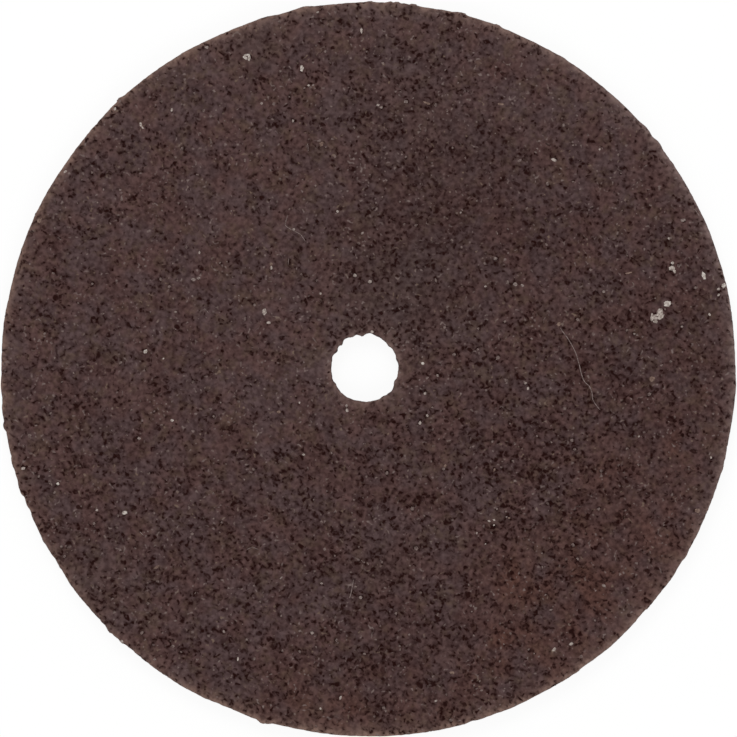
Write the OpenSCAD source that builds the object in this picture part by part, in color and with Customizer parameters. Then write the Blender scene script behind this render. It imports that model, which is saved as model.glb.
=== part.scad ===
/* [Wheel] */
// Diameter of the rim
wheel_d = 24; // [20:0.5:38]
// Thickness of the pressed disc
wheel_t = 0.64; // [0.5:0.02:1.6]
// Rounding where the two faces run over into the rim
rim_edge_r = 0.1; // [0.04:0.01:0.2]
// How far the rim sits to the right of the bore axis
rim_shift_x = 0.12; // [0:0.02:0.3]
// How far the rim sits in front of the bore axis
rim_shift_y = 0.04; // [0:0.02:0.3]

/* [Bore] */
// Diameter of the bore that the mandrel screw passes through
bore_d = 2.2; // [1.4:0.1:4]
// Rounding at the two mouths of the bore
bore_edge_r = 0.06; // [0.02:0.01:0.12]
// Diameter of the scoops that crumbled out of the bore wall
scoop_d = 0.4; // [0.3:0.05:0.6]
// Size of the grains that stand into the mouths of the bore
bore_grain_d = 0.22; // [0.16:0.02:0.26]

/* [Grit] */
// Size of the single large grains that stand out of the rim
large_grain_d = 0.34; // [0.24:0.02:0.44]
// Size of the small grains scattered all round the rim
small_grain_d = 0.2; // [0.12:0.02:0.3]
// Number of small grains
small_grain_count = 90; // [0:1:140]
// Greatest height of a small grain above the rim
small_grain_rise = 0.015; // [0.01:0.005:0.06]
// Width of the narrow nicks between the grains
nick_d = 0.5; // [0.3:0.05:0.8]
// Seed of the scatter
scatter_seed = 24; // [1:1:99]

/* [Hidden] */

grit_colour = [0.28, 0.21, 0.2];
rim_r = wheel_d / 2;
bore_r = bore_d / 2;
// Cutters run this far past the faces
over = 0.5;
// Facets of a full circle: rim and bore, and the small roundings
round_fn = 180;
small_fn = 32;

// A grain is a short prism whose corners lie on a ball of the grain's size
grain_radius_share = 0.4;
grain_height_share = 0.6;
// Grains lean this far at most from upright, in degrees
grain_lean = 24;

// Large grains on the rim: angle in degrees, height above the rim, place between the faces from 0 to 1
large_grains = [
    [22.5, 0.015, 0.5],
    [38, 0.04, 0.7],
    [41, 0.03, 0.3],
    [58.5, 0.025, 0.6],
    [69.5, 0.045, 0.4],
    [75.5, 0.05, 0.8],
    [83, 0.04, 0.3],
    [85.5, 0.05, 0.7],
    [86.8, 0.045, 0.4],
    [89.8, 0.045, 0.5],
    [100, 0.055, 0.6],
    [132.5, 0.055, 0.7],
    [155, 0.015, 0.3],
    [182.8, 0.03, 0.4],
    [186.2, 0.04, 0.7],
    [187.8, 0.04, 0.3],
    [189, 0.09, 0.6],
    [195.3, 0.065, 0.4],
    [197, 0.04, 0.6],
    [199.2, 0.07, 0.7],
    [207.5, 0.02, 0.4],
    [225.2, 0.065, 0.6],
    [227.8, 0.05, 0.3],
    [253.2, 0.085, 0.4],
    [254, 0.055, 0.8],
    [304.5, 0.025, 0.5],
    [311.5, 0.015, 0.6],
    [325.5, 0.025, 0.4],
    [329.6, 0.035, 0.7],
    [344.3, 0.025, 0.4],
    [356.8, 0.02, 0.6]
];

// Flats worn along the rim: angle in degrees, depth
rim_flats = [
    [3, 0.022],
    [64.5, 0.025],
    [112, 0.035],
    [125, 0.012],
    [143, 0.03],
    [213.5, 0.015],
    [247.3, 0.038],
    [258.5, 0.03],
    [268, 0.018],
    [297.5, 0.016],
    [349.5, 0.018]
];

// Narrow nicks where a grain has broken out of the rim: angle in degrees, depth
rim_nicks = [
    [80.8, 0.03],
    [103.7, 0.035],
    [202.5, 0.025],
    [211.5, 0.04],
    [286.3, 0.03],
    [305.8, 0.025],
    [318.7, 0.032]
];

// Scoops in the bore wall: angle in degrees, depth
bore_scoops = [
    [78, 0.04],
    [125, 0.06],
    [199, 0.025],
    [317, 0.035]
];

// Grains standing into the bore: angle in degrees, height above the wall, 1 at the top mouth and 0 at the bottom one
bore_grains = [
    [16, 0.03, 1],
    [42, 0.03, 0],
    [94, 0.045, 1],
    [134, 0.035, 0],
    [149, 0.04, 1],
    [208, 0.025, 1],
    [260, 0.02, 0],
    [335, 0.04, 1]
];

// Random draws for the small grains, one of each per grain
small_turn = rands(0, 360, small_grain_count, scatter_seed);
small_lift = rands(0, 1, small_grain_count, scatter_seed + 1);
small_rise = rands(0, small_grain_rise, small_grain_count, scatter_seed + 2);
small_step = rands(-0.4, 0.4, small_grain_count, scatter_seed + 3);

// Lean of a grain at a given angle of the wheel, spread evenly over both ways
function lean_at(angle) = grain_lean * sin(angle * 37);

// Height of a grain's middle, so that the whole grain lies between the faces
function seat_height(size, share) = size / 2 + share * (wheel_t - size);

// One angular abrasive grain, centred, upright before it leans
module grain(size, sides, turn, lean) {
    rotate([lean, lean / 2, turn])
        cylinder(
            r = size * grain_radius_share,
            h = size * grain_height_share,
            center = true,
            $fn = sides
        );
}

// Moves a grain to the rim, with its outer side at a height above the rim
module at_rim(angle, rise, size, share) {
    rotate(angle)
        translate([rim_r + rise - size * grain_radius_share, 0, seat_height(size, share)])
            children();
}

// Round disc with rounded edges, turned from its half section
module disc_blank() {
    rotate_extrude($fn = round_fn) {
        square([rim_r - rim_edge_r, wheel_t]);
        translate([0, rim_edge_r])
            square([rim_r, wheel_t - 2 * rim_edge_r]);
        for (height = [rim_edge_r, wheel_t - rim_edge_r])
            translate([rim_r - rim_edge_r, height])
                circle(rim_edge_r, $fn = small_fn);
    }
}

// Material that has worn or broken away along the rim
module rim_wear() {
    for (flat = rim_flats)
        rotate(flat[0])
            translate([rim_r - flat[1], -rim_r / 2, -over])
                cube([rim_r, rim_r, wheel_t + 2 * over]);
    for (nick = rim_nicks)
        rotate(nick[0])
            translate([rim_r - nick[1] + nick_d / 2, 0, -over])
                cylinder(d = nick_d, h = wheel_t + 2 * over, $fn = small_fn);
}

// Single large grains standing out of the rim
module large_grit() {
    for (spot = large_grains)
        at_rim(spot[0], spot[1], large_grain_d, spot[2])
            grain(large_grain_d, 6, spot[0] * 7, lean_at(spot[0]));
}

// Small grains scattered all round the rim
module small_grit() {
    for (i = [0 : 1 : small_grain_count - 1])
        at_rim((i + small_step[i]) * 360 / small_grain_count, small_rise[i], small_grain_d, small_lift[i])
            grain(small_grain_d, 5, small_turn[i], lean_at(i));
}

// The bore with its rounded mouths and crumbled scoops, as a solid to cut away
module bore_cut() {
    rotate_extrude($fn = round_fn) {
        translate([0, -over])
            square([bore_r, wheel_t + 2 * over]);
        for (mouth = [0, 1])
            translate([bore_r, mouth * wheel_t])
                mirror([0, mouth, 0])
                    difference() {
                        translate([-bore_edge_r, -over])
                            square([2 * bore_edge_r, over + bore_edge_r]);
                        translate([bore_edge_r, bore_edge_r])
                            circle(bore_edge_r, $fn = small_fn);
                    }
    }
    for (scoop = bore_scoops)
        rotate(scoop[0])
            translate([bore_r + scoop[1] - scoop_d / 2, 0, -over])
                cylinder(d = scoop_d, h = wheel_t + 2 * over, $fn = small_fn);
}

// Grains standing into the mouths of the bore, clear of the middle of its wall
module bore_grit() {
    for (spot = bore_grains)
        rotate(spot[0])
            translate([
                bore_r - spot[1] + bore_grain_d * grain_radius_share,
                0,
                seat_height(bore_grain_d, spot[2])
            ])
                grain(bore_grain_d, 6, spot[0] * 5, lean_at(spot[0]));
}

// The whole wheel: one pressed piece of abrasive grain in its bond
module abrasive_wheel() {
    color(grit_colour) {
        difference() {
            translate([rim_shift_x, -rim_shift_y, 0]) {
                difference() {
                    union() {
                        disc_blank();
                        small_grit();
                    }
                    rim_wear();
                }
                large_grit();
            }
            bore_cut();
        }
        bore_grit();
    }
}

abrasive_wheel();
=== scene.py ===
import math

import bpy
import numpy as np
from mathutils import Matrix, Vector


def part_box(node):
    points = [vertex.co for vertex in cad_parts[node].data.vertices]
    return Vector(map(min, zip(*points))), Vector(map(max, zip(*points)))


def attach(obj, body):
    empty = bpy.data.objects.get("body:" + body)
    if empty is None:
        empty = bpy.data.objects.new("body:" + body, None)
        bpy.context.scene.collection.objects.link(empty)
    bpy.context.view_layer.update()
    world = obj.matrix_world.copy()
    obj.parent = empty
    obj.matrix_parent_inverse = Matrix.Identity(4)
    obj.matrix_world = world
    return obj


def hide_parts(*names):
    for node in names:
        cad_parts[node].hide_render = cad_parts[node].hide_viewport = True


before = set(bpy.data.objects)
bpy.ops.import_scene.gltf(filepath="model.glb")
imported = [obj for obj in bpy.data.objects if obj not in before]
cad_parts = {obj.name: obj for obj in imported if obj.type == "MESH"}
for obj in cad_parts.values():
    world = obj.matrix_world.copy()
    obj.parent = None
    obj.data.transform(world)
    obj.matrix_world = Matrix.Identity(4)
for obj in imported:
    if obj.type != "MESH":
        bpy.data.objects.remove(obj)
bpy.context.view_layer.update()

# Driving sizes, in metres
MM = 0.001
WHEEL = "abrasive_wheel"
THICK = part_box(WHEEL)[1][2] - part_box(WHEEL)[0][2]
RIM_RADIUS = 12.0 * MM
RIM_CENTRE = np.array([0.12, -0.04]) * MM
BORE_CENTRE = np.zeros(2)
RIM_EDGE = 0.1 * MM
BORE_RADIUS = 1.1 * MM
BORE_EDGE = 0.06 * MM

# Where the wheel lies in the 737 pixel picture, whose first pixel has its middle at 0, 0
PICTURE = 737
PICTURE_RIM_CENTRE = np.array([368.1, 369.0])
PICTURE_RIM_RADIUS = 367.4
PIXEL = RIM_RADIUS / PICTURE_RIM_RADIUS


def from_picture(x, y):
    """Place on the wheel of a picture point: its offset from the rim's centre, with y turned upwards."""
    x = RIM_CENTRE[0] + (np.asarray(x, float) - PICTURE_RIM_CENTRE[0]) * PIXEL
    y = RIM_CENTRE[1] - (np.asarray(y, float) - PICTURE_RIM_CENTRE[1]) * PIXEL
    return np.stack([x, y], -1)


# The grain pattern is turned by these angles, and each seed moves it by so many of these steps
TURN = (0.7, 0.5, 0.4)
SEED_STEP = np.array([7.31, 3.77, 1.93])
# The noise texture's own scale of its sum of slopes
GRADIENT_SCALE = 0.982
# Noise fields that the mesh and the materials share: cell size, seed, layers, falloff
SWAY_NOISES = [(0.2 * MM, 21), (0.2 * MM, 22)]
PORE_NOISE = (0.14 * MM, 1, 2, 0.45)
CLUSTER_NOISE = (0.6 * MM, 5, 2)
LUMP_NOISE = (0.16 * MM, 31, 2)
# How far the sway moves the pores, and how far the clusters pull their pattern up and down
SWAY_REACH = 0.1 * MM
CLUSTER_PULL = 0.31
# Pores: spans of the pattern over which their painted shade darkens softly, then hard, how dark that is, and
# depth
PORE_SOFT = (0.385, 0.6)
PORE_HARD = (0.56, 0.71)
SOFT_DARK = (0.0, 0.33)
HARD_DARK = (0.0, 0.67)
PORE_DEPTH = 0.07 * MM
# Small pores, one to a cell, darkened with painted shade: cell size, share of the sway that bends them, least
# and greatest radius and soft edge in cells, least and greatest darkness, how far clusters and open patches
# make one likelier, and the span of that over which it grows
DOT_CELL = 0.2 * MM
DOT_SWAY = 1.8
DOT_RADII = (-0.13, 0.34)
DOT_EDGE = (-0.02, 0.22)
DOT_DARK = (0.7, 1.0)
DOT_CLUSTER = 1.5
DOT_OPENS = 3.5
DOT_LIKELY = (0.36, 1.0)
# Crumbs of bond in the pores: noise, its span, and the darkness of the painted shade left where a crumb lies
CRUMB_NOISE = (0.1 * MM, 23)
CRUMB_SPAN = (0.44, 0.68)
CRUMB_DARK = 0.52
# Lumps of the grain: height on the faces and on the walls, and the noise level that moves nothing
FACE_LUMP = 0.02 * MM
RIM_LUMP = 0.045 * MM
LUMP_LEVEL = 0.44
# Share of their depth that the pores lose on the walls
WALL_CLOSES = 0.5

# Single large grains on the rim: angle in degrees, rise above the rim in mm, half length of the bond that
# rises round it in degrees, place between the faces from 0 to 1
LARGE_GRAIN = 0.34 * MM
LARGE_GRAINS = np.array([
    (22.5, 0.018, 2.5, 0.5), (38, 0.054, 1.1, 0.7), (41, 0.046, 1.3, 0.3), (58.2, 0.028, 0.8, 0.6),
    (69.4, 0.05, 0.7, 0.4), (75.5, 0.058, 1.2, 0.8), (83, 0.045, 0.6, 0.3), (84.3, 0.028, 0.7, 0.6),
    (85.5, 0.076, 0.6, 0.7), (86.6, 0.06, 0.6, 0.4), (89.8, 0.048, 0.8, 0.5), (100, 0.057, 1.5, 0.6),
    (132.5, 0.06, 0.6, 0.7), (155, 0.02, 0.8, 0.3), (182.9, 0.036, 1.5, 0.4), (186.6, 0.052, 2.1, 0.7),
    (188.9, 0.096, 0.9, 0.6), (194.8, 0.07, 1.2, 0.4), (196.8, 0.042, 0.8, 0.6), (198.9, 0.078, 1.5, 0.7),
    (201.6, 0.024, 0.7, 0.3), (207.6, 0.024, 0.8, 0.4), (225.1, 0.072, 0.7, 0.6), (226.2, 0.04, 1.2, 0.5),
    (227.8, 0.053, 0.7, 0.3), (253.1, 0.096, 0.7, 0.4), (254, 0.058, 0.8, 0.8), (304.5, 0.026, 0.6, 0.5),
    (319.7, 0.015, 0.6, 0.6), (325.5, 0.025, 2, 0.4), (329.6, 0.036, 1, 0.7), (344.3, 0.028, 1, 0.4),
    (356.8, 0.021, 2, 0.6),
])
# Share of a large grain's rise that the bond round it reaches
MOUND_SHARE = 0.8

# Worn flats and nicks (positive) and low swells (negative) along the rim: angle in degrees, depth in mm,
# half length in degrees
RIM_LOWS = np.array([
    (3, 0.022, 5), (13, -0.01, 5), (50, 0.009, 3.5), (65, 0.024, 5.5), (80.5, 0.028, 2.2), (95, 0.011, 3.5),
    (104, 0.036, 1.8), (107, -0.013, 1), (113, 0.034, 7), (125, 0.011, 8), (137, 0.012, 3), (144, 0.03, 8),
    (167, 0.012, 4), (172.5, -0.015, 3), (191.8, -0.018, 2.2), (202.6, 0.024, 0.8), (211.4, 0.034, 1.4),
    (213.7, 0.02, 1.6), (217, -0.012, 3), (229.8, 0.011, 2), (239, -0.012, 2), (247.3, 0.038, 4),
    (258.5, 0.031, 5.5), (268, 0.018, 7), (276.5, 0.012, 3), (286.3, 0.03, 0.9), (289.5, 0.012, 2.5),
    (297.8, 0.017, 4), (306, 0.024, 1.8), (311.5, -0.016, 2.5), (318.2, 0.03, 1.6), (332, -0.014, 4),
    (350, 0.017, 4),
])

# Scoops (positive) and grains (negative) along the bore wall, and how tight their bumps are: angle in
# degrees, depth in mm, half length in degrees
BORE_TIGHT = 1.5
BORE_LOWS = np.array([
    (16, -0.035, 6), (44, -0.035, 7), (66, 0.02, 6), (81, 0.064, 10), (94.5, -0.056, 5), (105, 0.032, 4),
    (118.5, 0.03, 4), (125, 0.06, 6), (134, -0.036, 3), (140.5, 0.018, 4), (149, -0.04, 5), (160, 0.034, 5),
    (199, 0.025, 6), (208, -0.025, 4), (226, 0.018, 6), (236, 0.014, 5), (260, -0.015, 6), (293, 0.015, 5),
    (302, -0.012, 4), (309, 0.02, 4), (320, 0.05, 9), (336, -0.05, 6.5), (352, -0.012, 7),
])


def lattice_hash(i, j, k):
    """Mixes three whole numbers into one by the shifts and differences that a noise texture uses."""
    def rolled(x, bits):
        return (x << np.uint32(bits)) | (x >> np.uint32(32 - bits))
    start = np.uint32(0xDEADBEEF + 25)
    a, b, c = (start + n.astype(np.int64).astype(np.uint32) for n in (i, j, k))
    c = (c ^ b) - rolled(b, 14)
    a = (a ^ c) - rolled(c, 11)
    b = (b ^ a) - rolled(a, 25)
    c = (c ^ b) - rolled(b, 16)
    a = (a ^ c) - rolled(c, 4)
    b = (b ^ a) - rolled(a, 14)
    return (c ^ b) - rolled(b, 24)


def gradient_noise(p):
    """Gradient noise: each lattice corner gives a slope, and the eight are blended by a smooth fade."""
    corner = np.floor(p)
    part = p - corner
    fade = part ** 3 * (part * (part * 6 - 15) + 10)
    total = np.zeros(p.shape[:-1])
    for step in np.ndindex(2, 2, 2):
        step = np.array(step)
        h = lattice_hash(*np.moveaxis(corner + step, -1, 0)) & np.uint32(15)
        x, y, z = np.moveaxis(part - step, -1, 0)
        u = np.where(h < 8, x, y)
        v = np.where(h < 4, y, np.where((h == 12) | (h == 14), x, z))
        slope = np.where(h & 1, -u, u) + np.where(h & 2, -v, v)
        total += slope * np.prod(np.where(step, fade, 1 - fade), -1)
    return GRADIENT_SCALE * total


def layered_noise(place, cell, seed, layers=1, falloff=0.5):
    """Sum of noise layers, each twice as fine and falloff times as strong as the last, brought to 0 to 1."""
    p = place / cell + seed * SEED_STEP
    weights = falloff ** np.arange(layers)
    total = sum(w * gradient_noise(p * 2 ** n) for n, w in enumerate(weights))
    return 0.5 + 0.5 * total / weights.sum()


def smooth_step(value, span):
    """0 below the span, 1 above it, and a smooth rise between."""
    t = np.clip((value - span[0]) / (span[1] - span[0]), 0, 1)
    return t * t * (3 - 2 * t)


def turned(place):
    """The place turned about X, then Y, then Z, so that no lattice plane lies along a face."""
    (cx, cy, cz), (sx, sy, sz) = np.cos(TURN), np.sin(TURN)
    about_x = np.array([[1, 0, 0], [0, cx, -sx], [0, sx, cx]])
    about_y = np.array([[cy, 0, sy], [0, 1, 0], [-sy, 0, cy]])
    about_z = np.array([[cz, -sz, 0], [sz, cz, 0], [0, 0, 1]])
    return place @ (about_z @ about_y @ about_x).T


def pore_field(place):
    """Height of the pore pattern: fine noise read at swayed places, pulled up and down by a cluster noise."""
    p = turned(place)
    a, b = (layered_noise(p, *noise) - 0.5 for noise in SWAY_NOISES)
    swayed = p + SWAY_REACH * np.stack([a, b, -a], -1)
    return layered_noise(swayed, *PORE_NOISE) + CLUSTER_PULL * (layered_noise(p, *CLUSTER_NOISE) - 0.5)


def around(angle, spots, shape):
    """Sum of one bump per spot along a rim: depth times a shape of the turn from it over its half length."""
    turn = (angle[..., None] - np.radians(spots[:, 0]) + math.pi) % (2 * math.pi) - math.pi
    return (spots[:, 1] * MM * shape(turn / np.radians(spots[:, 2]))).sum(-1)


def rim_radius(angle):
    """Rim radius less its flats and nicks and with a mound at each large grain, all shallow round bumps."""
    def bump(turn):
        return np.clip(1 - turn * turn, 0, 1)
    mounds = LARGE_GRAINS[:, :3] * (1, MOUND_SHARE, 1)
    return RIM_RADIUS - around(angle, RIM_LOWS, bump) + around(angle, mounds, bump)


def bore_radius(angle):
    """Bore radius with its scoops and grains, each a bell curve of the turn."""
    def bump(turn):
        return np.exp(-BORE_TIGHT * turn * turn)
    return BORE_RADIUS + around(angle, BORE_LOWS, bump)


# Open and close patches of the faces: picture x, y, reach in pixels, share added to the pores
OPEN_PATCHES = np.array([
    (530, 450, 110, 0.03), (570, 530, 120, 0.02), (420, 620, 130, 0.02), (130, 560, 120, 0.015),
    (650, 340, 80, 0.008), (370, 620, 60, 0.015), (285, 530, 60, 0.02), (210, 640, 60, 0.01),
    (60, 460, 50, 0.02), (390, 290, 50, 0.02), (230, 90, 150, -0.03), (180, 290, 140, -0.025),
    (300, 365, 70, -0.04), (560, 60, 110, -0.03), (690, 480, 70, -0.02), (535, 290, 55, -0.025),
    (630, 620, 60, -0.05), (540, 190, 70, -0.015), (620, 200, 60, -0.02), (450, 530, 50, -0.02),
    (630, 130, 60, -0.015), (590, 410, 60, -0.015), (155, 175, 30, 0.035), (510, 505, 30, 0.035),
    (455, 502, 22, -0.045), (490, 575, 35, -0.04), (382, 582, 25, 0.035), (327, 317, 28, 0.035),
    (572, 278, 35, 0.035), (390, 105, 40, 0.025), (320, 478, 35, 0.02), (390, 210, 35, -0.03),
    (105, 442, 30, -0.035), (190, 477, 25, -0.03), (255, 205, 30, -0.03), (720, 366, 25, -0.035),
    (315, 665, 30, 0.025), (310, 58, 25, 0.025),
])

# Reddish (positive) and ashen (negative) patches of the faces: picture x, y, reach in pixels, strength
RUST_PATCHES = np.array([
    (517, 580, 26, 0.8), (590, 572, 50, 0.6), (500, 645, 24, 0.6), (290, 700, 26, 0.6), (345, 718, 18, 0.6),
    (697, 310, 16, 0.5), (700, 375, 20, 0.5), (680, 445, 26, 0.6), (600, 470, 26, 0.5), (650, 540, 60, 0.5),
    (560, 650, 60, 0.5), (430, 680, 60, 0.3), (400, 290, 60, -0.6), (430, 120, 90, -0.35),
    (255, 38, 30, -0.5), (90, 585, 35, -0.4), (385, 568, 28, -0.4), (618, 555, 28, -0.5),
    (475, 80, 30, 0.4), (572, 322, 25, 0.4), (335, 705, 25, 0.4),
])

# Paler and darker patches of the faces: picture x, y, reach in pixels, and how much of the tone they add
SHADE_PATCHES = np.array([
    (440, 160, 100, -0.06), (500, 240, 80, -0.035), (640, 330, 110, -0.03), (690, 430, 90, -0.03),
    (380, 240, 70, -0.035), (420, 720, 110, -0.03), (310, 60, 110, 0.04), (130, 130, 130, 0.03),
    (310, 360, 60, 0.04), (110, 620, 110, 0.04), (630, 120, 60, 0.05), (640, 620, 60, 0.04),
    (535, 290, 50, 0.03), (370, 620, 50, -0.02), (450, 40, 60, 0.03), (34, 478, 32, 0.07),
    (30, 310, 30, 0.05), (628, 548, 35, -0.03), (585, 180, 35, -0.03), (225, 132, 35, -0.02),
])


def patches(flat_place, spots):
    """Sum of soft round patches, each its strength times a bell curve of the distance over its reach."""
    middle = from_picture(spots[:, 0], spots[:, 1])
    far = np.linalg.norm(flat_place[..., None, :] - middle, axis=-1)
    return (spots[:, 3] * np.exp(-(far / (spots[:, 2] * PIXEL)) ** 2)).sum(-1)


# The wheel's mesh: a square lattice pressed round, of this many rings, less the rings inside the bore,
# its points moved at random by up to a share of the pitch, and its edges and walls in so many steps
WHEEL_SEED = 24
RINGS = 106
BORE_RINGS = 16
JITTER = 0.28
EDGE_STEPS = 3
RIM_WALL_STEPS = 5
BORE_WALL_STEPS = 4
# Pores close up towards the edges: by this much of the pattern, over this reach
EDGE_CLOSES = 0.06
EDGE_REACH = 0.08 * MM
# The pale worn edge is brown but for a grey side of the rim, and weaker round the bore: the grey side's
# angle, how grey and how tight it is, share of the paleness on the rim and in the bore, and how brown the
# bore's is
GREY_SIDE = math.radians(18)
GREY_SHARE = 0.9
GREY_TIGHT = 3
EDGE_SHARE = 1.1
BORE_EDGE_SHARE = 0.55
BORE_EDGE_BROWN = 0.6
# Sides of the worn rim made duller with painted shade (negative) and paler with painted light (positive):
# angle in degrees, share added, tightness
RIM_LIT_AND_SHADED_SIDES = np.array([
    (205, -0.27, 4), (228, -0.5, 12), (270, 0.86, 5), (318, -0.22, 12), (45, 0.22, 8), (135, 0.18, 8),
])


def lattice():
    """Square lattice without its middle: ring, angle on the ring, quads and the two end rings."""
    i, j = np.mgrid[-RINGS:RINGS + 1, -RINGS:RINGS + 1]
    ring = np.maximum(abs(i), abs(j))
    keep = ring >= BORE_RINGS
    number = np.where(keep, np.cumsum(keep).reshape(keep.shape) - 1, -1)
    corners = [number[:-1, :-1], number[1:, :-1], number[1:, 1:], number[:-1, 1:]]
    quads = np.stack(corners, -1).reshape(-1, 4)
    quads = quads[(quads >= 0).all(1)]
    i, j, ring = i[keep].astype(float), j[keep].astype(float), ring[keep]
    wide = abs(i) >= abs(j)
    across = np.where(wide, j, i) / np.where(wide, i, j)
    angle = np.where(wide, across + 4 * (i < 0), 2 - across + 4 * (j < 0)) * math.pi / 4
    angle %= 2 * math.pi

    def end_ring(n):
        found = np.flatnonzero(ring == n)
        return found[np.argsort(angle[found])]
    return ring, angle, quads, end_ring(RINGS), end_ring(BORE_RINGS)


def edge_profile(edge, wall_steps):
    """Half section from the upper face to the lower: a quarter round, a straight wall and a quarter round.

    Gives the outward run and the height of each station and the outward and upward parts of its normal.
    """
    bend = np.linspace(0, math.pi / 2, EDGE_STEPS + 1)[1:]
    wall = np.linspace(THICK - edge, edge, wall_steps + 1)[1:-1]
    arc = edge * np.sin(bend)
    run = np.concatenate([arc, np.full(wall.size, edge), arc[::-1]]) - edge
    drop = edge * (1 - np.cos(bend))
    height = np.concatenate([THICK - drop, wall, drop[::-1]])
    out = np.concatenate([np.sin(bend), np.ones(wall.size), np.sin(bend[::-1])])
    up = np.concatenate([np.cos(bend), np.zeros(wall.size), -np.cos(bend[::-1])])
    return run, height, out, up


def compass(angle):
    """Unit vectors in the plane of the wheel at the given angles."""
    return np.stack([np.cos(angle), np.sin(angle)], -1)


def wall_rows(angle, radius_at, centre, edge, wall_steps, side):
    """Places and normals of rows that carry the edge profile round the rim (side 1) or the bore (side -1).

    The bore's quarter rounds end on the faces one edge radius outside its wall. The last station of the
    profile is the lower face's own ring, and is left out.
    """
    run, height, out, up = edge_profile(edge, wall_steps)
    way = compass(angle)
    reach = radius_at(angle) + side * run[:, None]
    flat = centre + reach[..., None] * way
    level = np.broadcast_to(height[:, None, None], reach.shape + (1,))
    steep = np.broadcast_to(up[:, None, None], reach.shape + (1,))
    place = np.concatenate([flat, level], -1)
    normal = np.concatenate([side * out[:, None, None] * way, steep], -1)
    return place[:-1], normal[:-1]


def strip_quads(rows, outward):
    """Quads between neighbouring closed rows, wound so that they face away from the axis or towards it."""
    upper, lower = rows[:-1], rows[1:]
    ring = [upper, lower, np.roll(lower, -1, 1), np.roll(upper, -1, 1)]
    return np.stack(ring if outward else ring[::-1], -1).reshape(-1, 4)


# Layout of the wheel's map: two discs in opposite corners (middle and radius), and the rim and bore as
# lines below them (left, low, wide, tall, and number of lines), with bare margins round each
MAP_UPPER = (0.33, 0.66, 0.325)
MAP_LOWER = (0.785, 0.285, 0.205)
MAP_RIM = (0.01, 0.005, 0.98, 0.06, 2)
MAP_BORE = (0.02, 0.09, 0.2, 0.03, 1)
MAP_DISC = 1.01
MAP_MARGIN = 0.06


def strip_map(columns, rows, left, low, wide, tall, lines):
    """Map corners of a strip's quads: the way round in lines, one above the other, and the way across."""
    each = columns // lines
    column = np.arange(columns)
    line = column // each
    start = (column - line * each) / each
    end = start + 1 / each
    top = np.arange(rows)[:, None] / rows
    bottom = top + 1 / rows

    def corner(x, y):
        inside = MAP_MARGIN + (1 - 2 * MAP_MARGIN) * (1 - y)
        u = np.broadcast_to(left + wide * x, (rows, columns))
        v = np.broadcast_to(low + tall / lines * (line + inside), (rows, columns))
        return np.stack([u, v], -1)
    return np.stack([corner(start, top), corner(start, bottom), corner(end, bottom), corner(end, top)], -2)


def wheel_map(place, quads, count, rim_rows, bore_rows):
    """Flat map of the wheel: both faces seen square on, and the rim and the bore unrolled."""
    def disc(corners, layout, flip):
        x, y, r = layout
        flat = (place[corners, :2] - RIM_CENTRE) / (RIM_RADIUS * MAP_DISC) * r
        return np.array([x, y]) + flat * np.array([flip, 1])
    upper = disc(quads, MAP_UPPER, 1)
    lower = disc(quads[:, ::-1] + count, MAP_LOWER, -1)
    rim = strip_map(rim_rows.shape[1], len(rim_rows) - 1, *MAP_RIM)
    bore = strip_map(bore_rows.shape[1], len(bore_rows) - 1, *MAP_BORE)[..., ::-1, :]
    return np.concatenate([upper, lower, rim.reshape(-1, 4, 2), bore.reshape(-1, 4, 2)])


def wheel_looks(place):
    """Values that the finish reads at each point: its gap to the edges, their wear and painted light, and the
    patches.

    A side of the rim adds its share, painted light where positive and painted shade where negative, times a
    bell
    curve round the rim: the exponential of its tightness times the cosine of the turn from its middle, less
    one.
    """
    angle = np.arctan2(place[:, 1] - RIM_CENTRE[1], place[:, 0] - RIM_CENTRE[0])
    rim_gap = rim_radius(angle) - np.linalg.norm(place[:, :2] - RIM_CENTRE, axis=1)
    bore_gap = np.linalg.norm(place[:, :2], axis=1) - BORE_RADIUS
    edge_gap = np.minimum(np.maximum(rim_gap, 0), np.maximum(bore_gap, 0))
    edge_gap = np.maximum(edge_gap, np.minimum(place[:, 2], THICK - place[:, 2]) - RIM_EDGE)
    # the sides of the rim add painted light and painted shade to the worn edge's paleness
    side, added, tight = RIM_LIT_AND_SHADED_SIDES.T
    off = np.cos(angle[:, None] - np.radians(side)) - 1
    rim_wear_and_light = EDGE_SHARE + (added * np.exp(tight * off)).sum(1)
    rim_brown = 1 - GREY_SHARE * np.exp(GREY_TIGHT * (np.cos(angle - GREY_SIDE) - 1))
    return {
        "pressed_place": place,
        "edge_gap": edge_gap / MM,
        "edge_share": np.where(bore_gap < rim_gap, BORE_EDGE_SHARE, rim_wear_and_light),
        "edge_brown": np.where(bore_gap < rim_gap, BORE_EDGE_BROWN, rim_brown),
        "openness": patches(place[:, :2], OPEN_PATCHES) - EDGE_CLOSES * np.exp(-edge_gap / EDGE_REACH),
        "rust": patches(place[:, :2], RUST_PATCHES),
        "shade": patches(place[:, :2], SHADE_PATCHES),
    }


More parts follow.
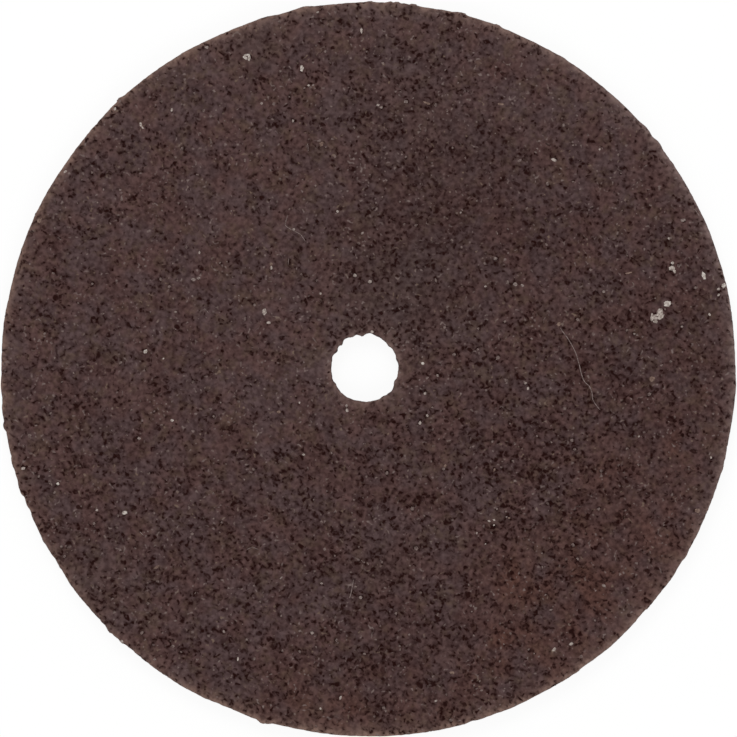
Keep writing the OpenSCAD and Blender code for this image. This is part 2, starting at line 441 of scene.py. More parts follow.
def wheel_mesh():
    """Closed skin of the wheel: two pressed-round lattices joined by the rim and bore profiles.

    Each point then sinks along its normal by the pore's depth there and shifts by the lumps of the grain.
    """
    rng = np.random.default_rng(WHEEL_SEED)
    ring, angle, quads, rim_ring, bore_ring = lattice()
    share = (ring - BORE_RINGS) / (RINGS - BORE_RINGS)
    way = compass(angle)
    inner = (bore_radius(angle) + BORE_EDGE)[:, None] * way
    outer = RIM_CENTRE + (rim_radius(angle) - RIM_EDGE)[:, None] * way
    flat = inner + (outer - inner) * share[:, None]
    inside = ((ring > BORE_RINGS) & (ring < RINGS))[:, None]
    pitch = (RIM_RADIUS - BORE_RADIUS) / (RINGS - BORE_RINGS)
    count = len(flat)

    def face(height, up):
        jittered = flat + inside * rng.uniform(-JITTER, JITTER, flat.shape) * pitch
        normal = np.broadcast_to(np.array([0.0, 0.0, up]), (count, 3))
        return np.column_stack([jittered, np.full(count, height)]), normal
    upper = face(THICK, 1.0)
    lower = face(0.0, -1.0)
    rim = wall_rows(angle[rim_ring], rim_radius, RIM_CENTRE, RIM_EDGE, RIM_WALL_STEPS, 1)
    bore = wall_rows(angle[bore_ring], bore_radius, BORE_CENTRE, BORE_EDGE, BORE_WALL_STEPS, -1)
    place, normal = (
        np.concatenate([part.reshape(-1, 3) for part in parts])
        for parts in zip(upper, lower, rim, bore)
    )

    rim_shape, bore_shape = rim[0].shape[:2], bore[0].shape[:2]
    bore_start = 2 * count + math.prod(rim_shape)
    rim_rows = np.arange(2 * count, bore_start).reshape(rim_shape)
    bore_rows = np.arange(bore_start, len(place)).reshape(bore_shape)
    rim_rows = np.vstack([rim_ring, rim_rows, rim_ring + count])
    bore_rows = np.vstack([bore_ring, bore_rows, bore_ring + count])
    faces = np.concatenate([
        quads, quads[:, ::-1] + count, strip_quads(rim_rows, True), strip_quads(bore_rows, False),
    ])

    looks = wheel_looks(place)
    sink = PORE_DEPTH * smooth_step(pore_field(place) + looks["openness"], PORE_HARD)
    lump = layered_noise(turned(place), *LUMP_NOISE) - LUMP_LEVEL
    on_wall = 1 - abs(normal[:, 2])
    lift = lump * (FACE_LUMP + (RIM_LUMP - FACE_LUMP) * on_wall) - sink * (1 - WALL_CLOSES * on_wall)
    place = place + normal * lift[:, None]
    return place, faces, looks, wheel_map(place, quads, count, rim_rows, bore_rows)


def new_piece(name, place, faces, material, smooth):
    """Mesh object at the origin with the given points and faces, riding on the wheel's own body."""
    mesh = bpy.data.meshes.new(name)
    mesh.from_pydata(place.tolist(), [], faces.tolist())
    mesh.polygons.foreach_set("use_smooth", np.full(len(faces), smooth))
    mesh.materials.append(material)
    piece = bpy.data.objects.new(name, mesh)
    bpy.context.scene.collection.objects.link(piece)
    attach(piece, "root")
    return piece


# An angular grain: the twelve corners and twenty faces of a regular solid, knocked out of true
GOLDEN = (1 + 5 ** 0.5) / 2
GRAIN_CORNERS = np.array([
    (-1, GOLDEN, 0), (1, GOLDEN, 0), (-1, -GOLDEN, 0), (1, -GOLDEN, 0), (0, -1, GOLDEN), (0, 1, GOLDEN),
    (0, -1, -GOLDEN), (0, 1, -GOLDEN), (GOLDEN, 0, -1), (GOLDEN, 0, 1), (-GOLDEN, 0, -1), (-GOLDEN, 0, 1),
]) / math.sqrt(1 + GOLDEN ** 2)
GRAIN_FACES = np.array([
    (0, 11, 5), (0, 5, 1), (0, 1, 7), (0, 7, 10), (0, 10, 11), (1, 5, 9), (5, 11, 4), (11, 10, 2),
    (10, 7, 6), (7, 1, 8), (3, 9, 4), (3, 4, 2), (3, 2, 6), (3, 6, 8), (3, 8, 9), (4, 9, 5), (2, 4, 11),
    (6, 2, 10), (8, 6, 7), (9, 8, 1),
])
# How far a grain's corners are knocked in and out, and how far the whole grain is squeezed
GRAIN_KNOCK = (0.78, 1.22)
GRAIN_SQUEEZE = (0.7, 1.15)


def tumbled_grains(middles, sizes, rng, headings=None):
    """One knocked grain per middle: corners pulled in and out, turned at random, then stretched to its size.

    A size is one number, or a length, a width and a height, with the heading of the length in the wheel's
    plane. Grains with a heading are brought to just that length, width and height.
    """
    count = len(middles)
    corners = GRAIN_CORNERS * rng.uniform(*GRAIN_KNOCK, (count, len(GRAIN_CORNERS), 1))
    corners = corners * rng.uniform(*GRAIN_SQUEEZE, (count, 1, 3))
    q = rng.normal(size=(count, 4))
    w, x, y, z = (q / np.linalg.norm(q, axis=1, keepdims=True)).T
    turn = np.stack([
        1 - 2 * (y * y + z * z), 2 * (x * y - z * w), 2 * (x * z + y * w),
        2 * (x * y + z * w), 1 - 2 * (x * x + z * z), 2 * (y * z - x * w),
        2 * (x * z - y * w), 2 * (y * z + x * w), 1 - 2 * (x * x + y * y),
    ], -1).reshape(count, 3, 3)
    corners = np.einsum("nij,nkj->nki", turn, corners)
    if headings is not None:
        corners = corners / abs(corners).max(1, keepdims=True)
    corners = corners * np.broadcast_to(np.reshape(sizes, (count, 1, -1)), (count, 1, 3)) / 2
    if headings is not None:
        c, s = np.cos(headings)[:, None], np.sin(headings)[:, None]
        along, aside, up = np.moveaxis(corners, -1, 0)
        corners = np.stack([c * along - s * aside, s * along + c * aside, up], -1)
    place = corners + middles[:, None]
    faces = GRAIN_FACES + len(GRAIN_CORNERS) * np.arange(count)[:, None, None]
    return place.reshape(-1, 3), faces.reshape(-1, 3)


# Seed of all the grains and chips
GRIT_SEED = 7
# Grains scattered round the rim and the bore: how many, least and greatest size, least and greatest
# height above the wall in mm, and in grain sizes how far their middles lie from the faces at least
SMALL_RIM_GRAINS = 620
SMALL_BORE_GRAINS = 44
RIM_GRAIN_SIZES = (0.1 * MM, 0.2 * MM)
BORE_GRAIN_SIZES = (0.09 * MM, 0.16 * MM)
SMALL_PROUD = (-0.02, 0.012)
SMALL_CLEAR = 0.55
# How far the middle of a small and of a large grain lies behind its outer side, in grain sizes
SMALL_SEAT = 0.42
LARGE_SEAT = 0.4
# Grains bared on the faces, their paleness partly painted glints: how many, from where to where, least and
# greatest size in mm, how far their middles are sunk in sizes, and how far above the faces pressing leaves
# them at most
FACE_GRAINS = 1300
FACE_GRAIN_REACH = (1.5 * MM, 11.8 * MM)
FACE_GRAIN_SIZES = (0.09, 0.17)
FACE_GRAIN_SUNK = 0.34
PRESSED_PROUD = 0.008 * MM


def scattered_grains(count, sizes, radius_at, centre, side, rng):
    """Grains set evenly round the rim (side 1) or the bore (side -1), a little proud.

    Gives their middles, sizes and reaches, and the centre and the side.
    """
    turn = (np.arange(count) + rng.uniform(-0.5, 0.5, count)) * 2 * math.pi / count
    size = rng.uniform(*sizes, count)
    reach = radius_at(turn) + side * rng.uniform(*SMALL_PROUD, count) * MM
    level = rng.uniform(SMALL_CLEAR * size, THICK - SMALL_CLEAR * size)
    flat = centre + (reach - side * size * SMALL_SEAT)[:, None] * compass(turn)
    return np.column_stack([flat, level]), size, reach, centre, side


def listed_grains():
    """The large grains standing out of the rim: middles, sizes and reaches, and the rim's centre and side."""
    angle, proud, _, share = LARGE_GRAINS.T
    reach = RIM_RADIUS + proud * MM
    height = LARGE_GRAIN / 2 + share * (THICK - LARGE_GRAIN)
    flat = RIM_CENTRE + (reach - LARGE_GRAIN * LARGE_SEAT)[:, None] * compass(np.radians(angle))
    return np.column_stack([flat, height]), np.full(len(angle), LARGE_GRAIN), reach, RIM_CENTRE, 1


def worn_back(place, centre, reach, side):
    """Corners drawn in along the radius, so that none passes its grain's reach from the centre or a face."""
    away = place[:, :2] - centre
    far = np.linalg.norm(away, axis=1)
    limit = np.repeat(reach, len(GRAIN_CORNERS))
    kept = np.minimum(far, limit) if side > 0 else np.maximum(far, limit)
    flat = centre + away * (kept / far)[:, None]
    return np.column_stack([flat, np.clip(place[:, 2], 0, THICK)])


def edge_grains(rng):
    """Points and faces of the grains standing out of the rim and the bore: the large ones and a scatter."""
    groups = [
        listed_grains(),
        scattered_grains(SMALL_RIM_GRAINS, RIM_GRAIN_SIZES, rim_radius, RIM_CENTRE, 1, rng),
        scattered_grains(SMALL_BORE_GRAINS, BORE_GRAIN_SIZES, bore_radius, BORE_CENTRE, -1, rng),
    ]
    places, faces, start = [], [], 0
    for middles, sizes, reach, centre, side in groups:
        place, corners = tumbled_grains(middles, sizes, rng)
        places.append(worn_back(place, centre, reach, side))
        faces.append(corners + start)
        start += len(place)
    return np.concatenate(places), np.concatenate(faces)


def face_grain_places(rng):
    """Middles and sizes of pale little grains bared by pressing, spread evenly over both faces.

    Their paleness partly stands in for painted glints.
    """
    turn = rng.uniform(0, 2 * math.pi, FACE_GRAINS)
    near, far = FACE_GRAIN_REACH
    reach = np.sqrt(rng.uniform(near ** 2, far ** 2, FACE_GRAINS))
    size = rng.uniform(*FACE_GRAIN_SIZES, FACE_GRAINS) * MM
    top = np.arange(FACE_GRAINS) % 2 == 0
    level = np.where(top, THICK - size * FACE_GRAIN_SUNK, size * FACE_GRAIN_SUNK)
    flat = RIM_CENTRE + reach[:, None] * compass(turn)
    return np.column_stack([flat, level]), size


# White chips pressed into the upper face: picture x, y, length and width in pixels, heading in degrees
WHITE_CHIPS = np.array([
    (667.3, 303.2, 8, 6.2, 0), (672.2, 262.3, 3.4, 3, 0), (703.3, 275.7, 9, 5.6, 95),
    (723, 284.8, 5.5, 4.6, 40), (246.2, 54.6, 6.8, 3, 5), (248.6, 57.4, 8, 3.2, 90),
    (244.9, 57, 6.6, 3.4, -52), (301.4, 67.6, 7, 3.4, 90), (57.4, 483, 3.4, 3, 0),
    (145.4, 351, 4.4, 3.8, 0), (422.4, 363, 3.4, 3.2, 0), (124, 512, 5.4, 4.4, 10),
    (171.4, 420, 3.4, 2.8, 0),
])

# Cracked pale chips in the upper face, their dark mottle both cracks and painted facet shade: picture x, y,
# length and width in pixels, heading in degrees
CRACKED_AND_SHADED_CHIPS = np.array([
    (659.8, 311.2, 8.4, 8.4, 90), (660.8, 314.8, 7.6, 6.6, 90), (657, 314.4, 4, 3.4, 60),
    (651.8, 316.8, 7.6, 3.2, 75), (655.4, 321, 5, 4, 20), (659, 317.4, 5.4, 4.4, 20),
    (671.8, 267.4, 6.4, 4.6, 10), (673.8, 270.4, 5.2, 2.8, -55), (140.2, 123.6, 5.5, 2.6, 105),
    (142.4, 127.2, 4, 2.2, -40), (237.4, 658.6, 4.2, 2, 75), (271, 267.6, 4, 3, 90),
])

# Dull chips in the upper face: picture x, y, length and width in pixels, heading in degrees
DULL_CHIPS = np.array([
    (718, 288.4, 3.2, 2.6, 0), (718.4, 294.6, 3.4, 2.6, 20), (709, 314, 3, 2.4, 90),
    (171.4, 109.4, 4.4, 3.2, 90), (361, 30, 5.6, 2.6, 95), (22.6, 468, 4, 3, 0), (268.4, 322, 4, 2.4, 0),
    (354.4, 275, 4, 3.4, 0), (369.4, 281, 4, 3.6, 0), (424.4, 393, 3, 3, 0), (419.4, 422.4, 4, 3, 80),
    (96.4, 509.4, 2.8, 2.6, 0), (554, 648.6, 5.4, 3.6, 70), (553.4, 159.6, 5, 4.2, 0),
    (199, 252, 3, 2.4, 90), (263.8, 311.6, 7, 5.8, 20), (299, 402, 3, 2.4, 90), (710.4, 457, 3, 2.4, 90),
    (570.4, 643.6, 4.8, 4, 0), (371.6, 331, 3.4, 3, 0), (114.4, 108.4, 3.4, 3, 40),
    (64.4, 171.6, 4.6, 3.4, 50), (308, 85, 2.6, 2.4, 0), (377.6, 104.4, 3.4, 2.6, 0),
    (292.4, 120.4, 3, 2.4, 90), (460.4, 212, 2.4, 2.4, 0), (337, 211, 3.2, 3, 0), (599.4, 149, 2.4, 2.4, 0),
    (668.4, 238, 2.4, 2.4, 0), (163, 358, 2.6, 2.4, 0), (346.4, 410, 4, 2.8, 90), (638.4, 436, 2.4, 2.2, 0),
    (340, 697.4, 4, 2.4, 90), (320, 708, 2.4, 2.4, 0), (435.4, 700.4, 3.2, 2.4, 0),
    (527.4, 388, 3.4, 3, 40), (121.6, 641, 3.4, 3, 0), (488.6, 520.6, 2.8, 2.4, 30),
    (494, 519.6, 3, 2.8, 0), (493.4, 524.6, 2.2, 1.8, 0), (485, 543.4, 1.8, 1.4, 60),
    (293.2, 228.8, 3, 2.6, 20), (427, 415, 3, 2.6, 0), (303, 454, 2.8, 2.4, 0), (320, 293, 2.8, 2.6, 0),
    (485, 286, 2.4, 2.2, 0), (317, 11.6, 3.4, 2, 20), (654.6, 315.4, 4, 3.2, 50), (656, 318, 4.6, 3.8, 0),
])

# Faint chips in the upper face: picture x, y, length and width in pixels, heading in degrees
FAINT_CHIPS = np.array([
    (405.4, 101, 4.4, 3.6, 0), (495, 258, 4, 3.8, 0), (175, 311.4, 3.2, 2.4, 0), (198, 277.4, 5, 3.4, 20),
    (437, 375, 3, 2.4, 90), (223.4, 631, 3.8, 3.2, 90), (281.4, 577, 3.2, 3, 0), (603.4, 585, 4, 3.4, 0),
    (682.4, 219.6, 5, 3.4, 30), (603.4, 291, 3.6, 3, 0), (321, 583, 3, 2.4, 0), (681.4, 326.2, 2.4, 2.2, 0),
    (634, 333.4, 2.4, 2.2, 0), (312, 632.4, 4, 3.6, 0), (312.6, 84.6, 2, 1.8, 0), (381, 107, 3.4, 2.8, 0),
    (525, 382.8, 3.4, 2.6, 30), (506, 516.4, 1.8, 1.6, 0), (476, 533, 3, 2.8, 0), (139, 438, 4, 3, 0),
    (515, 284, 4.6, 4, 20), (522, 285, 4.2, 3.4, 0), (154, 659, 3.6, 3, 0), (360, 597, 3.4, 3, 0),
    (346, 405, 3.6, 2.6, 90), (206, 47, 5, 3.4, 10), (193, 279, 5.6, 4.4, 0), (261, 103, 3.2, 2.8, 0),
    (362, 232.6, 5, 2.2, 40),
])

# Tan chips in the upper face: picture x, y, length and width in pixels, heading in degrees
TAN_CHIPS = np.array([
    (628.4, 272.4, 8, 2, 12), (321, 144, 5.8, 4.2, 70), (651.6, 378, 8, 5.4, 75), (451.4, 672, 5.8, 3.6, 0),
    (500.4, 103.4, 6, 3, 0), (426, 102.4, 7, 2.2, -20), (277.4, 411, 5, 4, 0), (156, 566.6, 6.4, 3.4, 25),
    (39, 220, 5.4, 4, 60), (697, 510, 6.2, 5, 0), (271, 263.6, 4, 3, 0), (494, 469.4, 3.4, 1.8, 80),
    (508.6, 517.4, 2.2, 1.8, 0), (558.6, 323.6, 5, 4, 60), (444.6, 465.4, 4, 2.6, 80),
])
# What shows of a sunk chip is a little smaller than the chip: its swell, its height to its width, and how
# far its middle is sunk to its height
CHIP_SWELL = 1.1
CHIP_FLATNESS = 0.5
CHIP_SUNK = 0.18


def chip_places(chips):
    """Middles, sizes and headings of chips, each middle sunk below the face by a share of its height."""
    x, y, length, width, heading = chips.T
    size = np.column_stack([length, width, CHIP_FLATNESS * width]) * PIXEL * CHIP_SWELL
    middles = np.column_stack([from_picture(x, y), THICK - size[:, 2] * CHIP_SUNK])
    return middles, size, np.radians(heading)


# Lint on the upper face: share of the full thickness, and picture points along each hair
LINT_RADIUS = 0.017 * MM
LINT = [
    (1.0, [
        (560, 327), (561.4, 330), (566, 336), (571, 344), (575.4, 353), (578.4, 363), (580.8, 373),
        (584, 381), (589, 386), (591.4, 392), (592.4, 399), (596, 405), (600, 410),
    ]),
    (0.9, [(353, 579), (352, 585), (350.6, 592), (349, 598)]),
    (0.75, [
        (287.4, 214), (285.4, 221), (285, 225), (290, 228.6), (295.4, 231.4), (300, 234), (303.4, 238.6),
        (305, 241.4),
    ]),
    (0.8, [(307, 143), (307.6, 147), (307.6, 151)]),
    (0.7, [(693, 208), (696, 211), (699, 216)]),
    (0.7, [(204, 308), (206, 310), (208, 313)]),
    (0.6, [(246, 549), (252, 547), (258, 549)]),
    (0.7, [(139, 531), (141, 533), (143, 535)]),
    (0.5, [(288.4, 256.4), (288, 260), (287.6, 264.6)]),
]
# Sides and steps of a hair's tube, corners of the two quads that close an end, how fast its ends taper
# and to what share, and the height of its middle in radii
LINT_SIDES = 6
LINT_STEPS = 6
LINT_CAP = np.array([(0, 1, 2, 3), (0, 3, 4, 5)])
LINT_TAPER = 2
LINT_TIP = 0.05
LINT_LIFT = 0.8


def lint_tubes():
    """Thin tubes: a round section carried along a smooth curve through each hair's points, ends tapered.

    Between two points the curve is a cubic whose slope at each is half the step between its two neighbours.
    """
    places, faces, start = [], [], 0
    for part, hair in LINT:
        points = from_picture(*np.array(hair, float).T)
        padded = np.vstack([2 * points[0] - points[1], points, 2 * points[-1] - points[-2]])
        t = np.linspace(0, 1, LINT_STEPS, endpoint=False)[None, :, None]
        a, b, c, d = (padded[n:len(padded) - 3 + n, None] for n in range(4))
        curve = 0.5 * (
            2 * b + (c - a) * t
            + (2 * a - 5 * b + 4 * c - d) * t ** 2
            + (3 * b - a - 3 * c + d) * t ** 3
        )
        curve = np.vstack([curve.reshape(-1, 2), points[-1]])
        along = np.gradient(curve, axis=0)
        along /= np.linalg.norm(along, axis=1, keepdims=True)
        side = np.column_stack([-along[:, 1], along[:, 0]])
        share = np.linspace(0, 1, len(curve))
        taper = np.clip(np.sqrt(4 * share * (1 - share)) * LINT_TAPER, LINT_TIP, 1)
        thick = part * LINT_RADIUS * taper
        turn = np.arange(LINT_SIDES) * 2 * math.pi / LINT_SIDES
        flat = curve[:, None] + side[:, None] * (thick[:, None] * np.cos(turn))[..., None]
        level = THICK + part * LINT_RADIUS * LINT_LIFT + thick[:, None] * np.sin(turn)
        rows = start + np.arange(len(curve) * LINT_SIDES).reshape(-1, LINT_SIDES)
        places.append(np.concatenate([flat, level[..., None]], -1).reshape(-1, 3))
        faces += [strip_quads(rows, False), rows[0][LINT_CAP], rows[-1][::-1][LINT_CAP]]
        start += rows.size
    return np.concatenate(places), np.concatenate(faces)


def srgb(*colour):
    """Linear colour, with full alpha, of a colour written from 0 to 255."""
    c = np.array(colour) / 255
    return (*np.where(c <= 0.04045, c / 12.92, ((c + 0.055) / 1.055) ** 2.4).tolist(), 1.0)


def add(tree, kind, inputs=None, **settings):
    """New node with its settings; each input is a plain value or another node's socket to link."""
    node = tree.nodes.new(kind)
    for name, value in settings.items():
        setattr(node, name, value)
    for name, value in (inputs or {}).items():
        if isinstance(value, bpy.types.NodeSocket):
            tree.links.new(value, node.inputs[name])
        else:
            node.inputs[name].default_value = value
    return node


def maths(tree, operation, *values):
    """Result of one sum on sockets or numbers."""
    return add(tree, "ShaderNodeMath", dict(enumerate(values)), operation=operation).outputs[0]


def vectors(tree, operation, *values):
    """Result of one sum on vector sockets or triples of numbers."""
    return add(tree, "ShaderNodeVectorMath", dict(enumerate(values)), operation=operation).outputs[0]


def rise(tree, value, span, ends=(0.0, 1.0)):
    """Smooth change of a socket's value over a span, from one end to the other."""
    inputs = {
        "Value": value, "From Min": span[0], "From Max": span[1],
        "To Min": ends[0], "To Max": ends[1],
    }
    return add(tree, "ShaderNodeMapRange", inputs, interpolation_type="SMOOTHSTEP").outputs[0]


def blend(tree, share, first, second, way="MIX"):
    """Colour that goes from the first to the second by the share; sockets 6, 7 and 2 are the colour ones."""
    node = add(tree, "ShaderNodeMix", data_type="RGBA", blend_type=way)
    for socket, value in zip((node.inputs[0], node.inputs[6], node.inputs[7]), (share, first, second)):
        if isinstance(value, bpy.types.NodeSocket):
            tree.links.new(value, socket)
        else:
            socket.default_value = value
    return node.outputs[2]


def cells(tree, place, cell, seed, layers=1, falloff=0.5):
    """Noise texture of a cell size and a seed, the twin of layered_noise."""
    scaled = vectors(tree, "MULTIPLY_ADD", place, (1 / cell,) * 3, tuple(seed * SEED_STEP))
    inputs = {"Vector": scaled, "Scale": 1.0, "Detail": layers - 1.0, "Roughness": falloff}
    return add(tree, "ShaderNodeTexNoise", inputs).outputs[0]


# Colours of the bonded grit
GREY_BOND = srgb(80.4, 62, 62)
RED_BOND = srgb(83.4, 60.2, 58)
OLIVE_BOND = srgb(82, 64.5, 52)
ASH_BOND = srgb(77, 62, 60)
RUST_BOND = srgb(88, 58, 50)
# painted shade in the pits of the pores
PORE_SHADE = srgb(36, 10, 7)
# pale and tan bared grains, their colour partly painted glints
BARE_GRAIN_AND_GLINT = srgb(121, 104, 100)
TAN_GRAIN_AND_GLINT = srgb(114, 94, 82)
EDGE_GREY = srgb(130, 110, 107)
EDGE_BROWN = srgb(132, 106, 96)
BRIGHT = (2.0, 2.0, 2.0, 1.0)
# Red swings this much as far as green and blue between the dark and the pale of the mottle
RED_SWING = 0.84
# Noise fields of the finish alone, as those above
TONE_NOISE = (1.1 * MM, 14, 3, 0.6)
OLIVE_NOISE = (0.6 * MM, 17, 4, 0.75)
RUST_NOISE = (0.9 * MM, 18, 2)
MOTTLE_NOISE = (0.15 * MM, 9, 2, 0.45)
BROAD_NOISE = (1.3 * MM, 12, 2)
WORN_NOISE = (0.4 * MM, 19, 2)
CROWD_NOISE = (0.4 * MM, 16)
SPECK_NOISE = (0.1 * MM, 15)
TAN_NOISE = (0.5 * MM, 20)
# Spans of those fields over which they act, each followed by what it then gives, where that isn't 0 to 1
TONE_SPAN = (0.38, 0.62)
OLIVE_RISE = ((0.48, 0.66), (0.0, 0.46))
RUST_SPAN = (0.3, 0.6)
MOTTLE_RISE = ((0.2, 0.8), (0.29, 0.73))
BROAD_RISE = ((0.2, 0.8), (-0.05, 0.05))
WORN_MOTTLE_RISE = ((0.3, 0.6), (0.6, 1.0))
WORN_RISE = ((0.3, 0.7), (0.55, 1.45))
CROWD_SPAN = (0.38, 0.6)
SPECK_SPAN = (0.65, 0.81)
TAN_SPAN = (0.54, 0.7)
ROUGH_RISE = ((0.3, 0.7), (0.74, 0.92))
# How much smoother the bared specks are, which partly stand in for painted glints, and how high the mottle
# and the specks stand against a pore's depth of 1
SPECK_GLOSS = 0.2
MOTTLE_HEIGHT = 0.6
SPECK_HEIGHT = 0.3
# Share of the worn edge's paleness left one millimetre in, for the narrow edge and for the wide one
# behind it, and how strong the wide one is
EDGE_FADE = 0.00024
WIDE_FADE = 0.12
WIDE_SHARE = 0.08
# Sockets of the node group
GRIT_INPUTS = [
    ("Place", "Vector"), ("Openness", "Float"), ("Edge", "Float"),
    ("Brown", "Float"), ("Rust", "Float"), ("Shade", "Float"),
]
GRIT_OUTPUTS = [("Colour", "Color"), ("Roughness", "Float"), ("Height", "Float")]


def pore_shade_mask(tree, place, openness):
    """Painted shade of the pores: the twin of pore_field, the small pores, and the crumbs of bond in both."""
    a, b = (cells(tree, place, *noise) for noise in SWAY_NOISES)
    sway = add(tree, "ShaderNodeCombineXYZ", {0: a, 1: b, 2: maths(tree, "SUBTRACT", 1.0, a)}).outputs[0]
    sway = vectors(tree, "MULTIPLY_ADD", sway, (SWAY_REACH,) * 3, (-SWAY_REACH / 2,) * 3)
    fine = cells(tree, vectors(tree, "ADD", place, sway), *PORE_NOISE)
    pull = maths(tree, "SUBTRACT", cells(tree, place, *CLUSTER_NOISE), 0.5)
    field = maths(tree, "ADD", maths(tree, "MULTIPLY_ADD", pull, CLUSTER_PULL, fine), openness)
    soft = rise(tree, field, PORE_SOFT, SOFT_DARK)
    hard = rise(tree, field, PORE_HARD, HARD_DARK)
    pore_shade = maths(tree, "ADD", soft, hard)
    # one bent dot of painted shade, of its own size and darkness, in each cell
    bent = vectors(tree, "MULTIPLY_ADD", sway, (DOT_SWAY,) * 3, place)
    scaled = vectors(tree, "MULTIPLY", bent, (1 / DOT_CELL,) * 3)
    dots = add(tree, "ShaderNodeTexVoronoi", {"Vector": scaled, "Scale": 1.0}).outputs
    chance = add(tree, "ShaderNodeSeparateColor", {"Color": dots["Color"]}).outputs
    likely = maths(tree, "MULTIPLY_ADD", pull, DOT_CLUSTER, chance[1])
    likely = maths(tree, "MULTIPLY_ADD", openness, DOT_OPENS, likely)
    reach = rise(tree, likely, DOT_LIKELY, DOT_RADII)
    dot = rise(tree, maths(tree, "SUBTRACT", dots["Distance"], reach), DOT_EDGE, (1.0, 0.0))
    dot = maths(tree, "MULTIPLY", dot, rise(tree, chance[0], (0.0, 1.0), DOT_DARK))
    crumb = rise(tree, cells(tree, place, *CRUMB_NOISE), CRUMB_SPAN, (1.0, CRUMB_DARK))
    return maths(tree, "MULTIPLY", maths(tree, "MAXIMUM", pore_shade, dot), crumb)


def bond_colour(tree, place, mottle, rust, shade):
    """Colour of the bond: its tones and patches, times a shade that swings less in red than in the rest."""
    tone = rise(tree, cells(tree, place, *TONE_NOISE), TONE_SPAN)
    colour = blend(tree, tone, RED_BOND, GREY_BOND)
    olive = rise(tree, cells(tree, place, *OLIVE_NOISE), *OLIVE_RISE)
    colour = blend(tree, olive, colour, OLIVE_BOND)
    colour = blend(tree, maths(tree, "MULTIPLY", rust, -1.0), colour, ASH_BOND)
    broken = rise(tree, cells(tree, place, *RUST_NOISE), RUST_SPAN)
    colour = blend(tree, maths(tree, "MULTIPLY", rust, broken), colour, RUST_BOND)
    broad = rise(tree, cells(tree, place, *BROAD_NOISE), *BROAD_RISE)
    shade = maths(tree, "ADD", maths(tree, "ADD", rise(tree, mottle, *MOTTLE_RISE), broad), shade)
    red_shade = maths(tree, "MULTIPLY_ADD", shade, RED_SWING, 0.5 - 0.5 * RED_SWING)
    shade = add(tree, "ShaderNodeCombineColor", {0: red_shade, 1: shade, 2: shade}).outputs[0]
    colour = blend(tree, 1.0, colour, shade, "MULTIPLY")
    return blend(tree, 1.0, colour, BRIGHT, "MULTIPLY")


def bonded_grit():
    """Node group of the bonded grit: mottled bond, a paler edge, bared grains and dark pores.

    The edge is worn and painted lighter and darker by side, the bared grains partly stand in for painted
    glints, and the pores' dark is painted shade in their pits.
    """
    tree = bpy.data.node_groups.new("Bonded grit", "ShaderNodeTree")
    for way, sockets in (("INPUT", GRIT_INPUTS), ("OUTPUT", GRIT_OUTPUTS)):
        for name, kind in sockets:
            tree.interface.new_socket(name, in_out=way, socket_type="NodeSocket" + kind)
    given = add(tree, "NodeGroupInput").outputs
    place = add(tree, "ShaderNodeMapping", {"Vector": given["Place"], "Rotation": TURN}).outputs[0]
    pore_shade = pore_shade_mask(tree, place, given["Openness"])
    mottle = cells(tree, place, *MOTTLE_NOISE)
    colour = bond_colour(tree, place, mottle, given["Rust"], given["Shade"])

    # the worn edge, with painted light and shade by side, is broken by the mottle and by a coarser noise, and
    # the bared specks, partly painted glints, come in crowds
    edge_wear_and_light = maths(tree, "MULTIPLY", given["Edge"], rise(tree, mottle, *WORN_MOTTLE_RISE))
    edge_wear_and_light = maths(tree, "MULTIPLY", edge_wear_and_light, rise(tree, cells(tree, place, *WORN_NOISE), *WORN_RISE))
    colour = blend(tree, edge_wear_and_light, colour, blend(tree, given["Brown"], EDGE_GREY, EDGE_BROWN))
    crowd = rise(tree, cells(tree, place, *CROWD_NOISE), CROWD_SPAN)
    # the specks are bared grains, partly painted glints
    speck = maths(tree, "MULTIPLY", rise(tree, cells(tree, place, *SPECK_NOISE), SPECK_SPAN), crowd)
    tan = rise(tree, cells(tree, place, *TAN_NOISE), TAN_SPAN)
    colour = blend(tree, speck, colour, blend(tree, tan, BARE_GRAIN_AND_GLINT, TAN_GRAIN_AND_GLINT))
    # the pores get painted shade in their pits
    colour = blend(tree, pore_shade, colour, PORE_SHADE)

    rough = rise(tree, mottle, *ROUGH_RISE)
    rough = maths(tree, "SUBTRACT", rough, maths(tree, "MULTIPLY", speck, SPECK_GLOSS))
    height = maths(tree, "SUBTRACT", maths(tree, "MULTIPLY", mottle, MOTTLE_HEIGHT), pore_shade)
    height = maths(tree, "MULTIPLY_ADD", speck, SPECK_HEIGHT, height)
    add(tree, "NodeGroupOutput", {"Colour": colour, "Roughness": rough, "Height": height})
    return tree


def fresh_material(name):
    """Empty node material with one principled shader on its surface."""
    material = bpy.data.materials.new(name)
    material.use_nodes = True
    tree = material.node_tree
    tree.nodes.clear()
    shader = add(tree, "ShaderNodeBsdfPrincipled")
    add(tree, "ShaderNodeOutputMaterial", {"Surface": shader.outputs[0]})
    return material, tree, shader


# Grit and minerals: strength of their bump, and their low shine
BUMP_STRENGTH = 0.7
SPECULAR = 0.1
# Depth of the bump on the wheel, on the standing grains and on the chips
WHEEL_BUMP = 0.02 * MM
GRAIN_BUMP = 0.01 * MM
CHIP_BUMP = 0.01 * MM
# What the standing grains give the bonded grit: less open pores, and a worn tan tint
STANDING_GRIT = {"Openness": -0.05, "Edge": 0.4, "Brown": 0.6, "Rust": 0.15}
# Mottle of a mineral chip, whose shaded tone is painted facet shade: noise, the span from its shaded to its
# pale tone, the span over which it gets smoother, and by how much
CHIP_NOISE = (0.07 * MM, 41, 2, 0.6)
CHIP_SPAN = (0.35, 0.62)
CHIP_ROUGH_SPAN = (0.3, 0.7)
CHIP_GLOSS = 0.2


